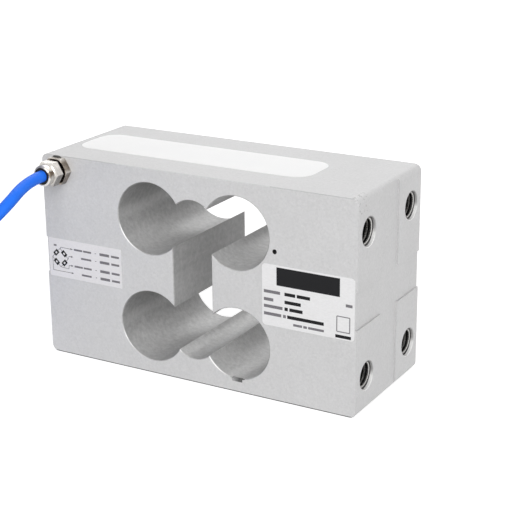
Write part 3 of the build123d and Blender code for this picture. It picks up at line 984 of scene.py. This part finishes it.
def word_bars(left, bottom, lengths, gap, thickness):
    """A row of short bars where a line of print would stand."""
    shapes = []
    for length in lengths:
        shapes.append(bar(left, bottom, length, thickness))
        left += length + gap
    return shapes


def bridge_shapes(centre, reach):
    """A plain bridge: the sides of a diamond, a dark block on each side, and a light spot in each block."""
    corners = [
        (centre[0], centre[1] + reach),
        (centre[0] + reach, centre[1]),
        (centre[0], centre[1] - reach),
        (centre[0] - reach, centre[1]),
    ]
    lines = []
    blocks = []
    spots = []
    for start, end in zip(corners, corners[1:] + corners[:1]):
        lines.append(stroke(start, end, 0.25))
        blocks.append(stroke(part_way(start, end, 0.26), part_way(start, end, 0.74), 2.0))
        spots.append(stroke(part_way(start, end, 0.42), part_way(start, end, 0.58), 0.8))
    return lines, blocks, spots


def part_way(start, end, share):
    """A point between two others."""
    return (start[0] + (end[0] - start[0]) * share, start[1] + (end[1] - start[1]) * share)


def arrow_line(points, thickness):
    """A bent line with a small head at its end."""
    shapes = [stroke(start, end, thickness) for start, end in zip(points, points[1:])]
    tip = points[-1]
    shapes.append([(tip[0] - 0.9, tip[1] - 0.45), (tip[0] + 0.3, tip[1]), (tip[0] - 0.9, tip[1] + 0.45)])
    return shapes


def on_coil(radius, turn, height):
    """A point of the coil after some turns."""
    angle = -math.pi / 2 - 2 * math.pi * turn
    return COIL_CENTRE + Vector((radius * math.cos(angle), radius * math.sin(angle), height))


def coil_path(settings):
    """Control points of the coil, clockwise seen from above, in three layers of three radii.

    Each turn keeps its radius, and moves to the next one over a short stretch. That stretch comes a little
    earlier in each layer, so that no turn meets the one that climbs to the next layer.
    """
    inner, middle, outer = settings.turn_radius
    thick = settings.diameter
    lift = thick / 2
    radius_marks = [
        (0.0, outer), (0.60, outer), (0.74, middle), (1.60, middle), (1.74, inner),
        (3.38, inner), (3.50, middle), (4.38, middle), (4.50, outer),
        (6.16, outer), (6.28, middle), (7.16, middle), (7.28, inner),
        (8.02, inner), (8.20, (inner + middle) / 2), (8.50, (inner + middle) / 2),
    ]
    height_marks = [
        (0.0, lift), (2.48, lift), (2.62, lift + thick), (5.26, lift + thick), (5.40, lift + 2 * thick),
        (8.02, lift + 2 * thick), (8.14, lift + 3.02 * thick), (8.32, lift + 3.02 * thick),
        (8.40, lift + 2.92 * thick), (8.50, lift + 2.92 * thick),
    ]
    steps = settings.steps
    sharpness = math.cos(math.pi / steps)
    last = height_marks[-1][0]
    points = []
    for step in range(math.floor(last * steps) + 1):
        turn = (step - 0.5) / steps
        points.append(on_coil(between(radius_marks, turn) / sharpness, turn, between(height_marks, turn)))
    points.append(on_coil(between(radius_marks, last), last, between(height_marks, last)))
    return points


def between(marks, position):
    """Value at a position between marks, with a smooth change from one mark to the next."""
    if position <= marks[0][0]:
        return marks[0][1]
    for (start, first), (end, second) in zip(marks, marks[1:]):
        if position <= end:
            share = (position - start) / (end - start)
            share = share * share * (3 - 2 * share)
            return first + (second - first) * share
    return marks[-1][1]


def area_lamp(name, position, target, size, power):
    """A large soft lamp that looks at a target."""
    data = bpy.data.lights.new(name, "AREA")
    data.shape = "RECTANGLE"
    data.size, data.size_y = size
    data.energy = power
    lamp = bpy.data.objects.new(name, data)
    bpy.context.scene.collection.objects.link(lamp)
    lamp.location = position
    lamp.rotation_euler = (Vector(target) - Vector(position)).to_track_quat("-Z", "Y").to_euler()


class LOADCELL_OT_stage(Operator):
    """Makes the camera, the lamps, the white surround and the floor"""

    bl_idname = "loadcell.stage"
    bl_label = "Stage"

    def execute(self, context):
        settings = context.scene.loadcell_stage
        scene = context.scene
        scene.view_settings.view_transform = "Standard"
        self.place_camera(scene, settings)
        middle = (0.0, 0.0, MIDDLE_HEIGHT)
        area_lamp("lamp_above", (-0.6, 0.0, 1.15), middle, (1.2, 1.2), settings.key_power)
        area_lamp("lamp_front", (1.0, -1.85, 1.2), middle, (2.2, 1.8), settings.front_power)
        area_lamp("lamp_behind", (-0.5, 1.25, 1.1), middle, (1.4, 1.0), settings.back_power)
        area_lamp("lamp_right", (1.15, -0.35, 0.5), middle, (0.9, 0.8), settings.side_power)
        self.light_all_round(scene, settings)
        self.lay_floor(scene, settings)
        return {"FINISHED"}

    def place_camera(self, scene, settings):
        """The camera, at its distance from the aim point."""
        data = bpy.data.cameras.new("camera")
        data.lens = settings.lens
        data.sensor_width = 36.0
        data.clip_start = 0.01
        camera = bpy.data.objects.new("camera", data)
        scene.collection.objects.link(camera)
        turn = (
            Matrix.Rotation(settings.azimuth, 4, "Z")
            @ Matrix.Rotation(math.pi / 2 - settings.elevation, 4, "X")
            @ Matrix.Rotation(settings.roll, 4, "Z")
        )
        backward = turn @ Vector((0, 0, 1))
        camera.matrix_world = Matrix.Translation(Vector(settings.aim) + backward * settings.distance) @ turn
        scene.camera = camera

    def light_all_round(self, scene, settings):
        """The world: a soft light on the load cell, and plain white where it is seen."""
        world = bpy.data.worlds.new("surround")
        scene.world = world
        world.use_nodes = True
        tree = world.node_tree
        tree.nodes.clear()
        white = (1.0, 1.0, 1.0, 1.0)
        soft = derive(tree, "Background", {"Color": white, "Strength": settings.ambient}, "Background")
        plain = derive(tree, "Background", {"Color": white, "Strength": 1.0}, "Background")
        output = tree.nodes.new("ShaderNodeOutputWorld")
        feed(tree, output, {"Surface": self.seen_directly(tree, soft, plain)})

    def lay_floor(self, scene, settings):
        """The floor: grey where it lights the load cell, and lifted to white where it is seen."""
        half = settings.floor_size / 2
        mesh = bpy.data.meshes.new("floor")
        corners = [(-half, -half, 0), (half, -half, 0), (half, half, 0), (-half, half, 0)]
        mesh.from_pydata(corners, [], [(0, 1, 2, 3)])
        floor = bpy.data.objects.new("floor", mesh)
        scene.collection.objects.link(floor)
        floor.location.z = -0.02 * MM
        material, tree, shader = new_finish("floor_paint")
        dust = place(tree).grain(0.01, 2.0)
        paint = dust.two_tones(shade(settings.floor_colour, 0.99), settings.floor_colour)
        feed(tree, shader, {"Base Color": paint, "Roughness": 0.9, "Specular IOR Level": 0.0})
        matte = Signal(tree, shader.outputs["BSDF"])
        glow = derive(tree, "Emission", {"Strength": settings.floor_lift}, "Emission")
        lifted = derive(tree, "AddShader", {0: matte, 1: glow}, "Shader")
        output = tree.nodes["Material Output"]
        feed(tree, output, {"Surface": self.seen_directly(tree, matte, lifted)})
        mesh.materials.append(material)

    def seen_directly(self, tree, lighting, seen):
        """Shows one shader to the camera, to gloss and through glass, and lights with the other."""
        path = tree.nodes.new("ShaderNodeLightPath").outputs
        names = ("Is Camera Ray", "Is Glossy Ray", "Is Transmission Ray")
        camera, gloss, glass = (Signal(tree, path[name]) for name in names)
        return derive(tree, "MixShader", {"Fac": camera | gloss | glass, 1: lighting, 2: seen}, "Shader")


class LOADCELL_OT_cable(Operator):
    """Lays the free cable from the gland to the floor and into its coil, and finishes its cores"""

    bl_idname = "loadcell.cable"
    bl_label = "Cable"

    def execute(self, context):
        settings = context.scene.loadcell_cable
        curve = bpy.data.curves.new("cable_run", "CURVE")
        curve.dimensions = "3D"
        curve.bevel_depth = settings.diameter / 2
        curve.bevel_resolution = 6
        curve.resolution_u = 8
        curve.use_fill_caps = True
        points = [Vector(point) for point in LEAD_POINTS] + coil_path(settings)
        spline = curve.splines.new("NURBS")
        spline.points.add(len(points) - 1)
        for point, position in zip(spline.points, points):
            point.co = (*position, 1.0)
        spline.order_u = 3
        spline.use_endpoint_u = True
        cable = bpy.data.objects.new("cable_run", curve)
        context.scene.collection.objects.link(cable)
        jacket = jacket_blue(settings)
        curve.materials.append(jacket)
        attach(cable, "root")
        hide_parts(*CABLE_NODES)
        dress(jacket, "cable_jacket")
        dress(rubber("shrunk_sleeve", (0.02, 0.02, 0.022)), "cable_sleeve")
        dress(bare_wire("tinned_strands", (0.75, 0.75, 0.74)), "end_shield")
        for colour, tone in CORE_COLOURS.items():
            dress(insulation(f"insulation_{colour}", tone), f"end_core_{colour}", f"core_{colour}")
        return {"FINISHED"}


class LOADCELL_OT_beam(Operator):
    """Gives the block its blasted finish and cuts the thread ridges of the end holes"""

    bl_idname = "loadcell.beam"
    bl_label = "Beam"

    def execute(self, context):
        settings = context.scene.loadcell_beam
        dress(blasted_aluminium(settings), "beam_body")
        metal = cut_metal(settings)
        across, up = settings.spacing
        flank = (settings.thread_major - settings.thread_core) * math.tan(math.radians(30.0))
        root = settings.thread_pitch / 8
        base = settings.thread_pitch - root
        crest = base - 2 * flank
        buried = settings.thread_major + 0.02 * MM
        profile = [
            (0.0, buried),
            (flank, settings.thread_core),
            (flank + crest, settings.thread_core),
            (base, buried),
        ]
        slope = math.tan(settings.countersink_slope)
        for name, face, inward in (("left", BEAM_LOW.x, 1), ("right", BEAM_HIGH.x, -1)):
            ridges = []
            for side, level in ((-1, -1), (-1, 1), (1, -1), (1, 1)):
                start = Vector((face, side * across / 2, MIDDLE_HEIGHT + level * up / 2))
                ridge = helical_ridge(
                    start,
                    (inward, 0, 0),
                    profile,
                    settings.thread_pitch,
                    settings.thread_length,
                    48,
                    lambda depth: settings.countersink - depth * slope,
                )
                ridges.append(ridge)
            sharpen(add_piece(f"{name}_end_threads", *join_lists(ridges), metal, "beam"))
        return {"FINISHED"}


class LOADCELL_OT_sealant(Operator):
    """Fills the gauge pockets with silicone"""

    bl_idname = "loadcell.sealant"
    bl_label = "Sealant"

    def execute(self, context):
        settings = context.scene.loadcell_sealant
        material = silicone(settings)
        for node, outward in (("top_sealant", 1), ("bottom_sealant", -1)):
            piece = add_piece(f"{node}_fill", *slab_of_silicone(node, outward, settings), material, "sealant")
            sharpen(piece, 50.0)
            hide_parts(node)
        return {"FINISHED"}


class LOADCELL_OT_gland(Operator):
    """Finishes the cable gland"""

    bl_idname = "loadcell.gland"
    bl_label = "Gland"

    def execute(self, context):
        settings = context.scene.loadcell_gland
        nickel = nickel_plate(settings)
        black = rubber("seal_black", settings.rubber)
        dress(nickel, "gland_body", "gland_cap_nut")
        dress(black, "gland_o_ring", "gland_seal")
        return {"FINISHED"}


class LOADCELL_OT_labels(Operator):
    """Finishes both stickers and lays their plain print on them"""

    bl_idname = "loadcell.labels"
    bl_label = "Labels"

    def execute(self, context):
        settings = context.scene.loadcell_labels
        film = label_film("wiring_label_film", settings.wiring_colour)
        dress(film, "wiring_label")
        dress(label_film("rating_label_film", settings.rating_colour), "rating_label")
        black = print_ink("print_black", settings.ink)
        grey = print_ink("print_grey", settings.grey_ink)
        self.wiring(settings, black, grey, film)
        self.rating(settings, black, grey)
        return {"FINISHED"}

    def lay(self, label, part, shapes, height, ink):
        """Lays plates of print on a sticker, as one piece."""
        plates = flat_shapes(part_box(label)[0], shapes, height)
        slot = {"wiring_label": "label_grey", "rating_label": "label_white"}[label]
        add_piece(f"{label}_{part}", *plates, ink, slot, smooth=False)

    def wiring(self, settings, black, grey, film):
        """A plain bridge with four leaders, and four lines of bars where print would stand.

        All places are in millimetres from the sticker's lower left corner.
        """
        middle = (5.9, 8.8)
        reach = 4.2
        rows = (13.6, 10.1, 6.0, 2.65)
        lines, blocks, spots = bridge_shapes(middle, reach)
        top = (middle[0], middle[1] + reach)
        right = (middle[0] + reach, middle[1])
        bottom = (middle[0], middle[1] - reach)
        left = (middle[0] - reach, middle[1])
        arrow_end = 12.5
        leaders = (
            (top, (top[0] + 0.5, rows[0]), (arrow_end, rows[0])),
            (right, (right[0] + 0.5, rows[1]), (arrow_end, rows[1])),
            (bottom, (10.2, bottom[1] - 0.3), (10.4, rows[2]), (arrow_end, rows[2])),
            (left, (left[0], rows[3]), (arrow_end, rows[3])),
        )
        for leader in leaders:
            lines.extend(arrow_line(leader, 0.22))
        left_words = ((13.4, (4.4, 4.2)), (17.0, (5.4,)), (13.3, (4.4, 4.2)), (17.0, (5.2,)))
        for row, (start, words) in zip(rows, left_words):
            lines.extend(word_bars(start, row - 0.45, words, 0.5, 0.85))
            lines.append(bar(24.4, row - 0.15, 0.7, 0.3))
            lines.extend(word_bars(26.9, row - 0.6, (5.0,), 0.5, 1.2))
            lines.extend(word_bars(32.9, row - 0.5, (4.1,), 0.5, 0.95))
        lines.append(bar(2.6, 13.8, 1.5, 0.8))
        height = settings.ink_height
        self.lay("wiring_label", "lines", lines, height, grey)
        self.lay("wiring_label", "blocks", blocks, height * 1.5, black)
        self.lay("wiring_label", "spots", spots, height * 2, film)

    def rating(self, settings, black, grey):
        """A plain header field, rows of bars where print would stand, an open square and the bar under it.

        All places are in millimetres from the sticker's lower left corner.
        """
        blocks = [bar(6.6, 17.6, 28.0, 7.6), bar(32.8, 0.6, 6.8, 1.3)]
        fine = []
        rows = (
            (14.45, (7.4,), 10.2, (4.8, 5.9)),
            (11.1, (4.3,), 10.2, (7.3,)),
            (8.2, (8.5,), 10.2, (1.5, 5.9)),
            (5.0, (7.9, 1.3), 11.4, (16.3,)),
        )
        for middle, first, second_start, second in rows:
            fine.extend(word_bars(0.8, middle - 0.65, first, 0.8, 1.3))
            blocks.extend(word_bars(second_start, middle - 0.7, second, 0.7, 1.4))
        fine.extend(word_bars(14.1, 1.6, (4.0, 1.6, 7.0), 0.55, 1.0))
        fine.append(bar(37.2, 13.9, 2.9, 1.2))
        square = [(33.4, 3.2), (39.0, 3.2), (39.0, 9.6), (33.4, 9.6)]
        for start, end in zip(square, square[1:] + square[:1]):
            fine.append(stroke(start, end, 0.4))
        height = settings.ink_height
        self.lay("rating_label", "fine", fine, height, grey)
        self.lay("rating_label", "blocks", blocks, height * 1.5, black)


class LOADCELL_OT_inside(Operator):
    """Finishes the gauges, the boards and the leads under the silicone"""

    bl_idname = "loadcell.inside"
    bl_label = "Inside"

    def execute(self, context):
        settings = context.scene.loadcell_inside
        film = gauge_film(settings)
        enamel = bare_wire("enamelled_copper", (0.45, 0.16, 0.06))
        dress(circuit_board(settings), "terminal_board", "terminal_strip")
        resistor = rubber("resistor_body", (0.03, 0.03, 0.035), 0.45)
        dress(resistor, "zero_trim_resistor", "span_trim_resistor", "temperature_trim_resistor")
        dress(enamel, "link_wires")
        for where in ("top_left", "top_right", "bottom_left", "bottom_right"):
            dress(film, f"gauge_{where}")
            dress(enamel, f"leads_{where}")
        return {"FINISHED"}


class LOADCELL_PT_sidebar(Panel):
    """Lists the load cell's sizes and colours"""

    bl_idname = "LOADCELL_PT_sidebar"
    bl_label = "Load Cell"
    bl_space_type = "VIEW_3D"
    bl_region_type = "UI"
    bl_category = "Load Cell"

    def draw(self, context):
        layout = self.layout
        for title, _, operator in GROUPS:
            settings = getattr(context.scene, f"loadcell_{title.lower()}")
            box = layout.box()
            box.label(text=title)
            for name in settings.bl_rna.properties.keys():
                if name not in ("rna_type", "name"):
                    box.prop(settings, name)
            box.operator(operator.bl_idname)


# Each group of pieces: its title, its settings and its operator
GROUPS = (
    ("Stage", StageSettings, LOADCELL_OT_stage),
    ("Cable", CableSettings, LOADCELL_OT_cable),
    ("Beam", BeamSettings, LOADCELL_OT_beam),
    ("Sealant", SealantSettings, LOADCELL_OT_sealant),
    ("Gland", GlandSettings, LOADCELL_OT_gland),
    ("Labels", LabelSettings, LOADCELL_OT_labels),
    ("Inside", InnerSettings, LOADCELL_OT_inside),
)


def register():
    for title, settings, operator in GROUPS:
        bpy.utils.register_class(settings)
        setattr(bpy.types.Scene, f"loadcell_{title.lower()}", PointerProperty(type=settings))
        bpy.utils.register_class(operator)
    bpy.utils.register_class(LOADCELL_PT_sidebar)


def unregister():
    bpy.utils.unregister_class(LOADCELL_PT_sidebar)
    for title, settings, operator in reversed(GROUPS):
        bpy.utils.unregister_class(operator)
        delattr(bpy.types.Scene, f"loadcell_{title.lower()}")
        bpy.utils.unregister_class(settings)


def main():
    register()
    for _, _, operator in GROUPS:
        family, action = operator.bl_idname.split(".")
        getattr(getattr(bpy.ops, family), action)()


if __name__ == "__main__":
    main()
